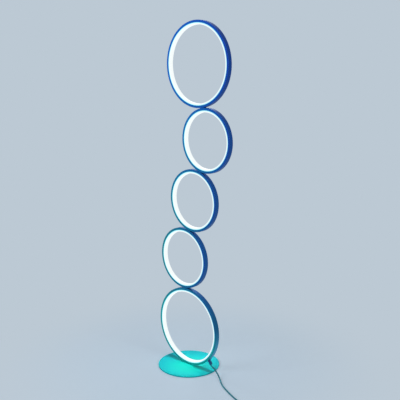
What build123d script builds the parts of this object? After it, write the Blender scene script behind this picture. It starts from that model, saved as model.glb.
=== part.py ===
"""Column floor lamp: five light hoops stacked edge to edge in one upright plane on a thin round base.

Millimetres, +Z up. The origin is the centre of the resting face under the base. The hoops stand in
the XZ plane, with -Y towards the viewer. Angles on a hoop run from +X towards +Z.
"""

import os
from dataclasses import dataclass
from math import cos, degrees, pi, radians, sin, sqrt, tan

from build123d import *

# Base
BASE_DIAMETER = 200.0
BASE_THICKNESS = 4.0
BASE_EDGE_CHAMFER = 0.8
PAD_THICKNESS = 1.0
PAD_INSET = 4.0

# Hoops, named from the base upwards; a lean is measured from the vertical towards +X
BIG_HOOP_DIAMETER = 258.0
SMALL_HOOP_DIAMETER = 198.0
LOWER_LEAN = -4.8
MIDDLE_LEAN = 13.0
UPPER_LEAN = 15.9
TOP_LEAN = -9.3
JOINT_GAP = 0.8

# Channel section of every hoop, open towards the hoop's centre
CHANNEL_WIDTH = 14.0
FLANGE_HEIGHT = 7.4
CASING_WALL = 1.2
DIFFUSER_RISE = 5.8
DIFFUSER_LEG = 2.4
STRIP_WIDTH = 9.0
STRIP_THICKNESS = 0.8
STRIP_CLEARANCE = 3.0

# Foot that ties the bottom hoop to the base
FOOT_GAP = 0.6
FOOT_LENGTH = 34.0
FOOT_WIDTH = 12.0
FOOT_HEIGHT = 1.4
CLAMP_LENGTH = 32.0
CLAMP_WIDTH = 10.0
CLAMP_THICKNESS = 2.2
SCREW_SPACING = 20.0
SCREW_DIAMETER = 4.0
SCREW_HEAD_DIAMETER = 8.0
SCREW_HEAD_ANGLE = 90.0
SCREW_CLEARANCE = 0.15
SCREW_SOCKET_ACROSS = 2.5
SCREW_SOCKET_DEPTH = 1.4
HEX_SIDES = 6

# Joints between hoops: hollow nipple, two thin nuts, saddle and jumper lead
NIPPLE_DIAMETER = 6.0
NIPPLE_BORE = 3.2
NIPPLE_CLEARANCE = 0.1
NIPPLE_END = 0.2
NUT_ACROSS = 10.0
NUT_THICKNESS = 2.2
SADDLE_LENGTH = 16.0
SADDLE_WIDTH = 11.0
SADDLE_HEIGHT = 1.3
LEAD_CLEARANCE = 0.1
LEAD_END = 0.3

# Cord boot on the bottom hoop: it enters the wall squarely and droops from there
INLET_ANGLE = -44.0
BOOT_ANGLE = -60.0
BOOT_LENGTH = 16.0
BOOT_COLLAR_DIAMETER = 12.2
BOOT_COLLAR_HEIGHT = 1.4
BOOT_ROOT_DIAMETER = 11.0
BOOT_TIP_DIAMETER = 10.2
BOOT_TIP_EDGE = 1.0
BOOT_NECK_DIAMETER = 6.6
BOOT_CLIP_DIAMETER = 8.6
BOOT_CLIP_HEIGHT = 1.2
BOOT_CLEARANCE = 0.1
BOOT_GROOVES = 3
BOOT_GROOVE_WIDTH = 1.2
BOOT_GROOVE_DEPTH = 0.7

# Cord, and the coil that its spare length is wound into
CORD_DIAMETER = 4.5
CORD_FLOOR = CORD_DIAMETER / 2
CORD_FIRST_RUN = 4.4
CORD_LAST_RUN = 16.0
CORD_BEND_SHARE = 0.45
COIL_CENTRE = (317.6, -131.7)
COIL_HEADING = -33.0
COIL_MIDDLE_DIAMETER = 56.0
COIL_PITCH = 5.8
COIL_HALF_TURNS = (7, 6)
COIL_SIDES = 6
COIL_STRETCH = 3 * CORD_DIAMETER
COIL_SAMPLES = 900
TIE_THICKNESS = 0.8
TIE_WIDTH = 8.0
TIE_CLEARANCE = 0.9
TIE_ANGLES = (-123.0, -18.0, 132.0)

# Plug-in power supply at the cord's far end
SUPPLY_LENGTH = 58.0
SUPPLY_WIDTH = 30.0
SUPPLY_HEIGHT = 24.0
SUPPLY_CORNER = 6.0
SUPPLY_REAR_EDGE = 3.0
SUPPLY_FRONT_EDGE = 1.0
SUPPLY_SEAM_INSET = 9.0
SUPPLY_SEAM_WIDTH = 0.8
SUPPLY_SEAM_DEPTH = 0.5
SUPPLY_BOOT_LENGTH = 34.0
SUPPLY_BOOT_ROOT = 9.0
SUPPLY_BOOT_TIP = 6.2
PIN_PLATE_THICKNESS = 3.0
PIN_PLATE_INSET = 1.5
PIN_DIAMETER = 4.0
PIN_LENGTH = 18.0
PIN_TIP_CHAMFER = 0.8
PIN_SPACING = 18.6
PIN_SEAT = 6.0

BASE_TOP = PAD_THICKNESS + BASE_THICKNESS
INNER_WIDTH = CHANNEL_WIDTH - 2 * CASING_WALL


@dataclass
class Hoop:
    """One hoop: its name, outer radius and centre in the XZ plane."""

    name: str
    radius: float
    x: float
    z: float

    @property
    def centre(self):
        return (self.x, 0, self.z)

    @property
    def floor_radius(self):
        """Radius of the channel's floor, on the inside of the outer wall."""
        return self.radius - CASING_WALL

    @property
    def axis(self):
        """The hoop's own axis; a positive turn about it runs from +X towards +Z."""
        return Axis(self.centre, (0, -1, 0))

    def radial_plane(self, angle=0.0):
        """Plane through the hoop's axis: x points outwards at the angle, y crosses the channel."""
        turn = radians(angle)
        return Plane(self.centre, x_dir=(cos(turn), 0, sin(turn)), z_dir=(-sin(turn), 0, cos(turn)))

    def arc_angle(self, length):
        """Degrees that a length takes along the channel's floor."""
        return degrees(length / self.floor_radius)


@dataclass
class Joint:
    """Where two hoops meet; up points from the lower hoop's centre to the upper one's."""

    lower: Hoop
    upper: Hoop
    lean: float

    @property
    def up(self):
        return Vector(sin(radians(self.lean)), 0, cos(radians(self.lean)))

    @property
    def centre(self):
        return Vector(*self.lower.centre) + self.up * (self.lower.radius + JOINT_GAP / 2)

    @property
    def side_plane(self):
        """Plane of the hoops at the joint: x along the shared tangent, y along up."""
        along = (cos(radians(self.lean)), 0, -sin(radians(self.lean)))
        return Plane(self.centre, x_dir=along, z_dir=(0, -1, 0))

    def plane(self, offset=0.0):
        """Plane across the joint's axis, offset along up."""
        return Plane(self.centre + self.up * offset, x_dir=(0, 1, 0), z_dir=self.up)


def stack_hoops():
    """Place each hoop on the one below it, a joint's gap apart along the leaning line."""
    big, small = BIG_HOOP_DIAMETER / 2, SMALL_HOOP_DIAMETER / 2
    hoops = [Hoop("bottom", big, 0.0, BASE_TOP + FOOT_GAP + big)]
    joints = []
    rest = (
        ("lower", small, LOWER_LEAN),
        ("middle", small, MIDDLE_LEAN),
        ("upper", small, UPPER_LEAN),
        ("top", big, TOP_LEAN),
    )
    for name, radius, lean in rest:
        below = hoops[-1]
        step = below.radius + JOINT_GAP + radius
        hoop = Hoop(name, radius, below.x + step * sin(radians(lean)), below.z + step * cos(radians(lean)))
        hoops.append(hoop)
        joints.append(Joint(below, hoop, lean))
    return hoops, joints


def sag(radius, half_length):
    """How far a circle leaves its tangent at half a chord's length."""
    return radius - sqrt(radius**2 - half_length**2)


HOOPS, JOINTS = stack_hoops()
BOTTOM = HOOPS[0]
SCREW_XS = (-SCREW_SPACING / 2, SCREW_SPACING / 2)
CLAMP_TOP = BOTTOM.z - BOTTOM.floor_radius + CLAMP_THICKNESS
NUT_CORNER = NUT_ACROSS / sqrt(3)

os.makedirs("parts", exist_ok=True)


def save(part, label):
    """Label a finished piece and write it under its node's name."""
    part.label = label
    export_step(part, f"parts/{label}.step")


def make_base():
    """Round plate with two countersunk holes from below, on a full-face anti-slip pad."""
    with BuildPart() as base_plate:
        with BuildSketch(Plane.XY.offset(PAD_THICKNESS)):
            Circle(BASE_DIAMETER / 2)
        extrude(amount=BASE_THICKNESS)
        chamfer(base_plate.edges().group_by(Axis.Z)[-1], BASE_EDGE_CHAMFER)
        underside = Plane((0, 0, PAD_THICKNESS), x_dir=(1, 0, 0), z_dir=(0, 0, -1))
        with Locations(underside):
            with GridLocations(SCREW_SPACING, 0, 2, 1):
                CounterSinkHole(
                    radius=SCREW_DIAMETER / 2 + SCREW_CLEARANCE,
                    counter_sink_radius=SCREW_HEAD_DIAMETER / 2,
                    depth=BASE_THICKNESS,
                    counter_sink_angle=SCREW_HEAD_ANGLE,
                )
    save(base_plate.part, "base_plate")

    with BuildPart() as base_pad:
        with BuildSketch():
            Circle(BASE_DIAMETER / 2 - PAD_INSET)
        extrude(amount=PAD_THICKNESS)
    save(base_pad.part, "base_pad")


def make_foot():
    """Saddle under the bottom hoop, clamp plate inside its channel, and the two screws."""
    with BuildPart() as foot_saddle:
        with BuildSketch(Plane((0, 0, BASE_TOP), x_dir=(1, 0, 0), z_dir=(0, -1, 0))):
            Rectangle(FOOT_LENGTH, FOOT_HEIGHT, align=(Align.CENTER, Align.MIN))
            with Locations((0, BOTTOM.z - BASE_TOP)):
                Circle(BOTTOM.radius, mode=Mode.SUBTRACT)
        extrude(amount=FOOT_WIDTH / 2, both=True)
        with BuildSketch(Plane.XY.offset(BASE_TOP)):
            with GridLocations(SCREW_SPACING, 0, 2, 1):
                Circle(SCREW_DIAMETER / 2 + SCREW_CLEARANCE)
        extrude(amount=FOOT_HEIGHT, mode=Mode.SUBTRACT)
    save(foot_saddle.part, "foot_saddle")

    span = BOTTOM.arc_angle(CLAMP_LENGTH)
    with BuildPart() as clamp_plate:
        with BuildSketch(BOTTOM.radial_plane(-90 - span / 2)):
            with Locations((BOTTOM.floor_radius, 0)):
                Rectangle(CLAMP_THICKNESS, CLAMP_WIDTH, align=(Align.MAX, Align.CENTER))
        revolve(axis=BOTTOM.axis, revolution_arc=span)
        with BuildSketch(Plane.XY.offset(BASE_TOP)):
            with GridLocations(SCREW_SPACING, 0, 2, 1):
                Circle(SCREW_DIAMETER / 2)
        extrude(amount=CLAMP_TOP - BASE_TOP + CLAMP_THICKNESS, mode=Mode.SUBTRACT)
    save(clamp_plate.part, "foot_clamp_plate")

    head_height = (SCREW_HEAD_DIAMETER - SCREW_DIAMETER) / 2 / tan(radians(SCREW_HEAD_ANGLE / 2))
    with BuildPart() as foot_screws:
        with Locations(*((x, 0, PAD_THICKNESS) for x in SCREW_XS)):
            Cone(
                SCREW_HEAD_DIAMETER / 2,
                SCREW_DIAMETER / 2,
                head_height,
                align=(Align.CENTER, Align.CENTER, Align.MIN),
            )
            Cylinder(
                SCREW_DIAMETER / 2,
                CLAMP_TOP - PAD_THICKNESS,
                align=(Align.CENTER, Align.CENTER, Align.MIN),
            )
        with BuildSketch(Plane.XY.offset(PAD_THICKNESS)):
            with GridLocations(SCREW_SPACING, 0, 2, 1):
                RegularPolygon(SCREW_SOCKET_ACROSS / 2, HEX_SIDES, major_radius=False)
        extrude(amount=SCREW_SOCKET_DEPTH, mode=Mode.SUBTRACT)
    save(foot_screws.part, "foot_screws")


def make_casing(hoop):
    """U channel turned round the hoop, with a hole in its wall for each thing that passes through."""
    with BuildPart() as casing:
        with BuildSketch(hoop.radial_plane()):
            with Locations((hoop.radius, 0)):
                Rectangle(FLANGE_HEIGHT, CHANNEL_WIDTH, align=(Align.MAX, Align.CENTER))
            with Locations((hoop.floor_radius, 0)):
                Rectangle(FLANGE_HEIGHT, INNER_WIDTH, align=(Align.MAX, Align.CENTER), mode=Mode.SUBTRACT)
        revolve(axis=hoop.axis)
        for joint in JOINTS:
            if hoop in (joint.lower, joint.upper):
                with BuildSketch(joint.plane()):
                    Circle(NIPPLE_DIAMETER / 2 + NIPPLE_CLEARANCE)
                extrude(amount=JOINT_GAP / 2 + 2 * CASING_WALL, both=True, mode=Mode.SUBTRACT)
        if hoop is BOTTOM:
            with BuildSketch(Plane.XY.offset(BASE_TOP)):
                with GridLocations(SCREW_SPACING, 0, 2, 1):
                    Circle(SCREW_DIAMETER / 2 + SCREW_CLEARANCE)
            extrude(amount=CLAMP_TOP - BASE_TOP, mode=Mode.SUBTRACT)
            with BuildSketch(inlet_plane()):
                Circle(BOOT_NECK_DIAMETER / 2 + BOOT_CLEARANCE)
            extrude(amount=2 * CASING_WALL, both=True, mode=Mode.SUBTRACT)
    save(casing.part, f"{hoop.name}_hoop_casing")


def make_diffuser(hoop):
    """Opal bar: a full-width head that sits on the flange ends, and a leg gripped between them."""
    shoulder = hoop.radius - FLANGE_HEIGHT
    with BuildPart() as diffuser:
        with BuildSketch(hoop.radial_plane()):
            with Locations((shoulder, 0)):
                Rectangle(DIFFUSER_RISE, CHANNEL_WIDTH, align=(Align.MAX, Align.CENTER))
                Rectangle(DIFFUSER_LEG, INNER_WIDTH, align=(Align.MIN, Align.CENTER))
        revolve(axis=hoop.axis)
    save(diffuser.part, f"{hoop.name}_hoop_diffuser")


def strip_breaks(hoop):
    """Angles at which hardware crosses the channel floor, each with the half angle kept free."""
    breaks = []
    for joint in JOINTS:
        if hoop is joint.lower:
            breaks.append((90 - joint.lean, NUT_CORNER))
        if hoop is joint.upper:
            breaks.append((270 - joint.lean, NUT_CORNER))
    if hoop is BOTTOM:
        breaks.append((270, CLAMP_LENGTH / 2))
        breaks.append((360 + INLET_ANGLE, BOOT_CLIP_DIAMETER / 2))
    return sorted((angle, hoop.arc_angle(half + STRIP_CLEARANCE)) for angle, half in breaks)


def make_strip(hoop):
    """Flexible light strip on the channel floor, in one length between each two breaks."""
    breaks = strip_breaks(hoop)
    following = breaks[1:] + [(breaks[0][0] + 360, breaks[0][1])]
    with BuildPart() as strip:
        for (angle, half), (next_angle, next_half) in zip(breaks, following):
            start = angle + half
            with BuildSketch(hoop.radial_plane(start)):
                with Locations((hoop.floor_radius, 0)):
                    Rectangle(STRIP_THICKNESS, STRIP_WIDTH, align=(Align.MAX, Align.CENTER))
            revolve(axis=hoop.axis, revolution_arc=next_angle - next_half - start)
    save(strip.part, f"{hoop.name}_hoop_led_strip")


def nut_seat(hoop):
    """Distance from a joint's centre to the seat of the nut on the curved channel floor."""
    return JOINT_GAP / 2 + CASING_WALL + sag(hoop.floor_radius, NUT_CORNER)


def nipple_reach(hoop):
    """Distance from a joint's centre to the nipple's end inside a hoop."""
    return nut_seat(hoop) + NUT_THICKNESS + NIPPLE_END


def make_joints():
    """The four joints: a saddle between the hoops, a hollow nipple, its nuts and its jumper lead."""
    with BuildPart() as saddles:
        for joint in JOINTS:
            with BuildSketch(joint.side_plane):
                Rectangle(SADDLE_LENGTH, SADDLE_HEIGHT)
                with Locations((0, -JOINT_GAP / 2 - joint.lower.radius)):
                    Circle(joint.lower.radius, mode=Mode.SUBTRACT)
                with Locations((0, JOINT_GAP / 2 + joint.upper.radius)):
                    Circle(joint.upper.radius, mode=Mode.SUBTRACT)
            extrude(amount=SADDLE_WIDTH / 2, both=True)
            with BuildSketch(joint.plane()):
                Circle(NIPPLE_DIAMETER / 2 + NIPPLE_CLEARANCE)
            extrude(amount=SADDLE_HEIGHT, both=True, mode=Mode.SUBTRACT)
    save(saddles.part, "joint_saddles")

    with BuildPart() as nipples:
        for joint in JOINTS:
            with BuildSketch(joint.plane(-nipple_reach(joint.lower))):
                Circle(NIPPLE_DIAMETER / 2)
                Circle(NIPPLE_BORE / 2, mode=Mode.SUBTRACT)
            extrude(amount=nipple_reach(joint.lower) + nipple_reach(joint.upper))
    save(nipples.part, "joint_nipples")

    with BuildPart() as nuts:
        for joint in JOINTS:
            for start in (-nut_seat(joint.lower) - NUT_THICKNESS, nut_seat(joint.upper)):
                with BuildSketch(joint.plane(start)):
                    RegularPolygon(NUT_ACROSS / 2, HEX_SIDES, major_radius=False, rotation=180 / HEX_SIDES)
                    Circle(NIPPLE_DIAMETER / 2, mode=Mode.SUBTRACT)
                extrude(amount=NUT_THICKNESS)
    save(nuts.part, "joint_nuts")

    with BuildPart() as leads:
        for joint in JOINTS:
            with BuildSketch(joint.plane(-nipple_reach(joint.lower) - LEAD_END)):
                Circle(NIPPLE_BORE / 2 - LEAD_CLEARANCE)
            extrude(amount=nipple_reach(joint.lower) + nipple_reach(joint.upper) + 2 * LEAD_END)
    save(leads.part, "jumper_leads")


def inlet_direction():
    return Vector(cos(radians(INLET_ANGLE)), 0, sin(radians(INLET_ANGLE)))


def inlet_plane():
    """Plane across the cord inlet, on the bottom hoop's outer wall."""
    return Plane(
        Vector(*BOTTOM.centre) + inlet_direction() * BOTTOM.radius,
        x_dir=(0, 1, 0),
        z_dir=inlet_direction(),
    )


def boot_direction():
    return Vector(cos(radians(BOOT_ANGLE)), 0, sin(radians(BOOT_ANGLE)))


def boot_tip():
    """Middle of the boot's end, where the cord leaves it."""
    return inlet_plane().origin + boot_direction() * BOOT_LENGTH


def boot_outline(start, length, root, tip):
    """Outline of a tapered boot with flex grooves, from its root to its tip, as (along, radius) points."""
    outline = [(start, root / 2)]
    pitch = length / (BOOT_GROOVES + 1)
    for groove in range(1, BOOT_GROOVES + 1):
        middle = groove * pitch
        for side, depth in ((-1, 0), (-1, 1), (1, 1), (1, 0)):
            along = middle + side * BOOT_GROOVE_WIDTH / 2
            radius = (root + (tip - root) * along / length) / 2 - depth * BOOT_GROOVE_DEPTH
            outline.append((start + along, radius))
    outline.append((start + length, tip / 2))
    return outline


def make_boot():
    """Boot where the cord leaves the bottom hoop: a grooved barrel on a collar, a neck and an inner clip."""
    origin = inlet_plane().origin
    side = (0, -1, 0)
    barrel = boot_outline(0, BOOT_LENGTH, BOOT_ROOT_DIAMETER, BOOT_TIP_DIAMETER)
    hidden = -BOOT_ROOT_DIAMETER / 2
    seat = CASING_WALL + sag(BOTTOM.floor_radius, BOOT_CLIP_DIAMETER / 2)
    neck = [
        (-seat - BOOT_CLIP_HEIGHT, 0),
        (-seat - BOOT_CLIP_HEIGHT, BOOT_NECK_DIAMETER / 2),
        (-seat, BOOT_CLIP_DIAMETER / 2),
        (-seat, BOOT_NECK_DIAMETER / 2),
        (BOOT_COLLAR_HEIGHT, BOOT_NECK_DIAMETER / 2),
        (BOOT_COLLAR_HEIGHT, 0),
    ]
    with BuildPart() as strain_relief:
        with BuildSketch(Plane(origin, x_dir=boot_direction(), z_dir=side)):
            with BuildLine():
                Polyline((hidden, 0), (hidden, BOOT_ROOT_DIAMETER / 2), *barrel, (BOOT_LENGTH, 0), close=True)
            make_face()
        revolve(axis=Axis(origin, boot_direction()))
        tip_edge = strain_relief.edges().sort_by(Axis(origin, boot_direction()))[-1]
        chamfer(tip_edge, BOOT_TIP_EDGE)
        with BuildSketch(inlet_plane()):
            Circle(BOOT_COLLAR_DIAMETER / 2)
        extrude(amount=BOOT_COLLAR_HEIGHT, both=True)
        with BuildSketch(Plane(BOTTOM.centre, x_dir=(1, 0, 0), z_dir=side)):
            Circle(BOTTOM.radius)
        extrude(amount=CHANNEL_WIDTH, both=True, mode=Mode.SUBTRACT)
        with BuildSketch(Plane(origin, x_dir=inlet_direction(), z_dir=side)):
            with BuildLine():
                Polyline(*neck, close=True)
            make_face()
        revolve(axis=Axis(origin, inlet_direction()))
    save(strain_relief.part, "strain_relief")


def coil_height():
    """Height of the coil's lowest turn: its flat underside lies on the ties."""
    return TIE_THICKNESS + CORD_DIAMETER / 2 * cos(radians(180 / COIL_SIDES))


def coil_heading():
    return Vector(cos(radians(COIL_HEADING)), sin(radians(COIL_HEADING)), 0)


def coil_radii():
    """Radius and layer at each half turn: in and out by turns, climbing where the spiral reverses."""
    step = COIL_PITCH / 2
    radius = COIL_MIDDLE_DIAMETER / 2 + COIL_HALF_TURNS[0] * step / 2
    stations = [(radius, 0)]
    for layer, half_turns in enumerate(COIL_HALF_TURNS):
        if layer > 0:
            stations.append((radius, layer))
        way = -1 if layer % 2 == 0 else 1
        for _ in range(half_turns):
            radius += way * step
            stations.append((radius, layer))
    return stations


def coil_stations():
    """Point and direction at each half turn of the clockwise coil, on the line through its start."""
    across = Vector(-coil_heading().Y, coil_heading().X, 0)
    stations = []
    side = 1
    for radius, layer in coil_radii():
        height = coil_height() + layer * COIL_PITCH
        point = Vector(COIL_CENTRE[0], COIL_CENTRE[1], height) + across * (side * radius)
        stations.append((point, coil_heading() * side))
        side = -side
    return stations


def cord_points():
    """Route of the free cord: out of the boot, down to the floor, past the view and on to the coil."""
    tip = boot_tip()
    coil_start = coil_stations()[0][0]
    floor = CORD_FLOOR
    return [
        tip,
        tip + boot_direction() * CORD_FIRST_RUN,
        Vector(110.8, -0.2, 24.2),
        Vector(118.8, -1.0, 20.7),
        Vector(126.0, -2.6, 15.7),
        Vector(133.8, -4.0, 10.8),
        Vector(142.2, -7.4, 6.0),
        Vector(152.0, -13.2, 2.8),
        Vector(163.0, -21.8, floor),
        Vector(175.0, -31.0, floor),
        Vector(188.4, -39.6, floor),
        Vector(203.6, -47.2, floor),
        Vector(220.4, -54.8, floor),
        Vector(238.6, -62.4, floor),
        Vector(257.4, -69.6, floor),
        Vector(276.0, -75.8, floor),
        Vector(293.6, -80.4, floor),
        Vector(310.4, -84.2, coil_height()),
        coil_start - coil_heading() * CORD_LAST_RUN,
        coil_start,
    ]


def bend_radii(points):
    """The largest arc that each corner's shorter run allows, with room left for its neighbours."""
    radii = []
    for before, corner, after in zip(points, points[1:], points[2:]):
        first, second = corner - before, after - corner
        turn = radians(first.get_angle(second))
        radii.append(CORD_BEND_SHARE * min(first.length, second.length) / tan(turn / 2))
    return radii


def make_cord():
    """Round tube along the free route."""
    points = cord_points()
    radii = bend_radii(points)
    with BuildPart() as power_cord:
        with BuildLine() as route:
            FilletPolyline(*points, radius=radii)
        with BuildSketch(Plane(points[0], z_dir=boot_direction())):
            Circle(CORD_DIAMETER / 2)
        sweep()
    save(power_cord.part, "power_cord")
    length = route.wire().length
    print("cord radii", [round(r, 1) for r in radii])
    print("cord runs", [round((b - a).length, 1) for a, b in zip(points, points[1:])])
    print("cord tube length", round(length, 1), "volume", round(power_cord.part.volume, 1))
    print("section times length", round(pi * CORD_DIAMETER**2 / 4 * length, 1))


def make_coil():
    """The spare cord as one unbroken tube: half turns joined by a pair of tangent quarter arcs each."""
    stations = coil_stations()
    end, end_heading = stations[-1]
    with BuildPart() as cord_coil:
        with BuildLine() as turns:
            for (start, heading), (stop, stop_heading) in zip(stations, stations[1:]):
                middle = (start + stop) / 2 + heading * ((stop - start).length / 2)
                TangentArc(start, middle, tangent=heading)
                TangentArc(middle, stop, tangent=(stop - start).normalized())
            Line(end, end + end_heading * CORD_DIAMETER)
        with BuildSketch(Plane(stations[0][0], x_dir=(0, 0, 1), z_dir=coil_heading())):
            RegularPolygon(CORD_DIAMETER / 2, COIL_SIDES, rotation=180 / COIL_SIDES)
        sweep()
    save(cord_coil.part, "cord_coil")
    print("coil length", round(turns.wire().length, 1), "least gap to itself", round(least_gap(turns.wire()), 2))
    print("coil volume", round(cord_coil.part.volume, 1))


def least_gap(wire):
    """Least clear distance between points of the coil that lie over a stretch apart along it."""
    points = [wire.position_at(i / COIL_SAMPLES) for i in range(COIL_SAMPLES + 1)]
    skip = int(COIL_STRETCH / (wire.length / COIL_SAMPLES)) + 1
    nearest = min(
        (points[i] - points[j]).length
        for i in range(len(points))
        for j in range(i + skip, len(points))
    )
    return nearest - CORD_DIAMETER


def make_ties():
    """Flat straps round the bundle of turns, which the coil lies on."""
    radii = [radius for radius, _ in coil_radii()]
    inner = min(radii) - CORD_DIAMETER / 2 - TIE_CLEARANCE
    outer = max(radii) + CORD_DIAMETER / 2 + TIE_CLEARANCE
    layers = len(COIL_HALF_TURNS) - 1
    height = layers * COIL_PITCH + CORD_DIAMETER
    with BuildPart() as ties:
        for angle in TIE_ANGLES:
            turn = radians(angle)
            out = (cos(turn), sin(turn), 0)
            plane = Plane((*COIL_CENTRE, TIE_THICKNESS), x_dir=out, z_dir=(sin(turn), -cos(turn), 0))
            with BuildSketch(plane):
                with Locations(((inner + outer) / 2, height / 2)):
                    RectangleRounded(
                        outer - inner + 2 * TIE_THICKNESS, height + 2 * TIE_THICKNESS, 2 * TIE_THICKNESS
                    )
                    RectangleRounded(outer - inner, height, TIE_THICKNESS, mode=Mode.SUBTRACT)
            extrude(amount=TIE_WIDTH / 2, both=True)
    save(ties.part, "coil_ties")


def make_supply():
    """Slim plug-in power supply in line with the coil's end: boot, housing, pin plate and pins."""
    end, heading = coil_stations()[-1]
    start = end + heading * CORD_DIAMETER
    taper = boot_outline(0, SUPPLY_BOOT_LENGTH, SUPPLY_BOOT_TIP, SUPPLY_BOOT_ROOT)
    with BuildPart() as boot:
        with BuildSketch(Plane(start, x_dir=heading, z_dir=(0, 0, 1))):
            with BuildLine():
                Polyline((0, 0), *taper, (SUPPLY_BOOT_LENGTH, 0), close=True)
            make_face()
        revolve(axis=Axis(start, heading))
    save(boot.part, "supply_boot")

    rear = start + heading * SUPPLY_BOOT_LENGTH
    floor_centre = Vector(rear.X, rear.Y, SUPPLY_HEIGHT / 2)
    across = Vector(-heading.Y, heading.X, 0)
    rear_plane = Plane(floor_centre, x_dir=across, z_dir=heading)
    pin_plane = rear_plane.offset(SUPPLY_LENGTH - PIN_SEAT)
    with BuildPart() as housing:
        with BuildSketch(rear_plane):
            RectangleRounded(SUPPLY_WIDTH, SUPPLY_HEIGHT, SUPPLY_CORNER)
        extrude(amount=SUPPLY_LENGTH)
        ends = housing.faces().sort_by(Axis(floor_centre, heading))
        fillet(ends[0].edges(), SUPPLY_REAR_EDGE)
        chamfer(ends[-1].edges(), SUPPLY_FRONT_EDGE)
        with BuildSketch(rear_plane.offset(SUPPLY_LENGTH - SUPPLY_SEAM_INSET)):
            RectangleRounded(SUPPLY_WIDTH, SUPPLY_HEIGHT, SUPPLY_CORNER)
            RectangleRounded(
                SUPPLY_WIDTH - 2 * SUPPLY_SEAM_DEPTH,
                SUPPLY_HEIGHT - 2 * SUPPLY_SEAM_DEPTH,
                SUPPLY_CORNER - SUPPLY_SEAM_DEPTH,
                mode=Mode.SUBTRACT,
            )
        extrude(amount=SUPPLY_SEAM_WIDTH, mode=Mode.SUBTRACT)
        with BuildSketch(pin_plane):
            with GridLocations(PIN_SPACING, 0, 2, 1):
                Circle(PIN_DIAMETER / 2)
        extrude(amount=PIN_SEAT, mode=Mode.SUBTRACT)
    save(housing.part, "supply_housing")

    with BuildPart() as pin_plate:
        with BuildSketch(rear_plane.offset(SUPPLY_LENGTH)):
            RectangleRounded(
                SUPPLY_WIDTH - 2 * PIN_PLATE_INSET,
                SUPPLY_HEIGHT - 2 * PIN_PLATE_INSET,
                SUPPLY_CORNER - PIN_PLATE_INSET,
            )
            with GridLocations(PIN_SPACING, 0, 2, 1):
                Circle(PIN_DIAMETER / 2, mode=Mode.SUBTRACT)
        extrude(amount=PIN_PLATE_THICKNESS)
    save(pin_plate.part, "supply_pin_plate")

    with BuildPart() as pins:
        with BuildSketch(pin_plane):
            with GridLocations(PIN_SPACING, 0, 2, 1):
                Circle(PIN_DIAMETER / 2)
        extrude(amount=PIN_SEAT + PIN_PLATE_THICKNESS + PIN_LENGTH)
        chamfer(pins.edges().group_by(Axis(floor_centre, heading))[-1], PIN_TIP_CHAMFER)
    save(pins.part, "supply_pins")


make_base()
make_foot()
for each_hoop in HOOPS:
    make_casing(each_hoop)
    make_diffuser(each_hoop)
    make_strip(each_hoop)
make_joints()
make_boot()
make_cord()
make_coil()
make_ties()
make_supply()
print("column height", round(HOOPS[-1].z + HOOPS[-1].radius, 1))
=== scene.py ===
"""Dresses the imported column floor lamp: finishes, rounded hoops, the cord at its real length, a studio.

Metres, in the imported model's frame: +Z up, the hoops in the XZ plane, -Y the front.
"""

import math
from typing import NamedTuple

import bpy
import numpy as np
from bpy.props import FloatProperty, FloatVectorProperty, PointerProperty
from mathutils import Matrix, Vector


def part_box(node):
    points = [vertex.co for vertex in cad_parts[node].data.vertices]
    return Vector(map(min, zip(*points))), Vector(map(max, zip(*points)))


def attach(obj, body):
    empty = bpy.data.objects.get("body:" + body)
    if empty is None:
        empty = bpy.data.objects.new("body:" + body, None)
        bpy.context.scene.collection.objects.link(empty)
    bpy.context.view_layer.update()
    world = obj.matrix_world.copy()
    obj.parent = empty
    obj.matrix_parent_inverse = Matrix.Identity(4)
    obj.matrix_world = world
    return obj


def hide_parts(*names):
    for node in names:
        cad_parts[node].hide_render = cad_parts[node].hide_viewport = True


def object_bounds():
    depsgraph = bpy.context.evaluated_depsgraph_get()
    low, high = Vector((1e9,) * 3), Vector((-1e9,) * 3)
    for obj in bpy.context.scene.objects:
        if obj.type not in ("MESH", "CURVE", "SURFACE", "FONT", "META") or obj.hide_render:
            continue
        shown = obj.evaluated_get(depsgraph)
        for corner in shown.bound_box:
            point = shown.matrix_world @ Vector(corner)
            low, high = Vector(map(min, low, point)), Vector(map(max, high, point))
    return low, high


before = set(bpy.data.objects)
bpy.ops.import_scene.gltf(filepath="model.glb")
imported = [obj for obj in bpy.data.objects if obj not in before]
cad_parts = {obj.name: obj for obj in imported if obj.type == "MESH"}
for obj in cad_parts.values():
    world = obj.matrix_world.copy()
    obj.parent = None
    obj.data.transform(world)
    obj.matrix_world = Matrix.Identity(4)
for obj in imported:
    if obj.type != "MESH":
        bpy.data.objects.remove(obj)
CAD_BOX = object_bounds()

bl_info = {
    "name": "Column floor lamp",
    "version": (1, 0, 0),
    "blender": (4, 5, 0),
    "location": "3D View > Sidebar > Lamp",
    "description": "Builds the visible pieces, finishes and studio of a column floor lamp",
    "category": "Object",
}

BODY = "root"
HOOP_NAMES = ("bottom", "lower", "middle", "upper", "top")

# How finely hoops and rounded edges are divided
HOOP_SEGMENTS = 240
ARC_STEPS = 5

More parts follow.
